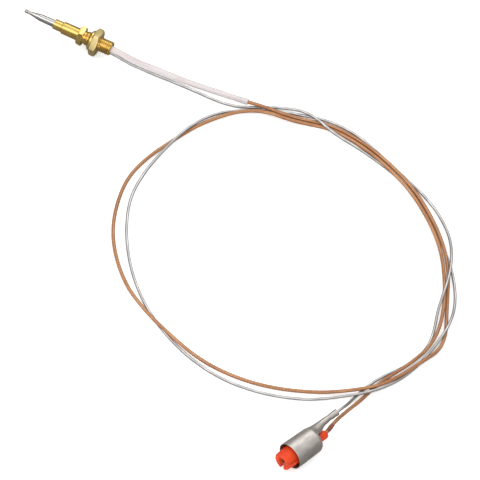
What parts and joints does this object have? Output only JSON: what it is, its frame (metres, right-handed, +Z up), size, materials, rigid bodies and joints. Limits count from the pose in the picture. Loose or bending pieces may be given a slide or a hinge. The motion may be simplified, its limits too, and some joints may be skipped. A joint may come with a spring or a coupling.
{
  "type": "gas hob thermocouple",
  "caption": "Gas-hob thermocouple: steel probe in a brass hex fitting with nut and dished washer, a brown and a grey lead in a loose loop, and a shielded push-on plug.",
  "frame": {"origin": "on the fitting's axis at the rear (seat) face of the hexagonal collar", "axes": "+X along the fitting from the probe's tip towards the leads, +Z up; the leads, the nut and the plug lie on the plane z = -7.7 mm"},
  "size_m": [0.2914, 0.2306, 0.0156],
  "materials": {
    "weld_steel": "rounded weld, dull",
    "stainless": "polished stainless, slightly warm",
    "constantan": "drawn wire",
    "pressed_ceramic": "matt",
    "brass": "machined, bright",
    "washer_brass": "pressed, slightly dull",
    "nut_brass": "machined, a little tarnished",
    "copper": "plain copper",
    "braze": "cast, rough",
    "cement": "matt, grainy",
    "sleeving": "braided, varnished",
    "brown_cover": "braided and varnished, satin",
    "grey_cover": "smooth, glossy",
    "dark_red_sleeve": "satin",
    "orange_plastic": "satin",
    "contact_brass": "pressed, bright",
    "plated_steel": "nickel plated, lengthwise brushing"
  },
  "bodies": {
    "fitting_and_leads": {"hot_junction_bead": "weld_steel", "sensing_sheath": "stainless", "ceramic_insulator": "pressed_ceramic", "constantan_core": "constantan", "front_collar": "brass", "mounting_body": "brass", "lead_splice": "copper", "copper_strand": "copper", "earth_wire_end": "copper", "earth_braze": "braze", "rear_potting": "cement", "heat_sleeve": "sleeving", "brown_lead": "brown_cover", "silver_lead": "grey_cover", "silver_wire_end": "copper", "wire_ferrule": "dark_red_sleeve", "rear_bush": "orange_plastic", "link_wire": "copper", "centre_contact": "contact_brass", "plug_insert": "orange_plastic", "plug_shell": "plated_steel"},
    "washer": {"dished_washer": "washer_brass"},
    "nut": {"mounting_nut": "nut_brass"}
  },
  "joints": [
    {"name": "washer_travel", "type": "slide", "parent": "fitting_and_leads", "child": "washer", "axis": [1, 0, 0], "range_m": [-0.00305, 0.0072]},
    {"name": "nut_turn", "type": "hinge", "parent": "washer", "child": "nut", "pos_m": [0.007, 0, 0], "axis": [1, 0, 0], "range_deg": [-1080, 2520]}
  ],
  "couplings": [
    {"joint": "washer_travel", "follows": "nut_turn", "m_per_rad": 0.00015915}
  ]
}
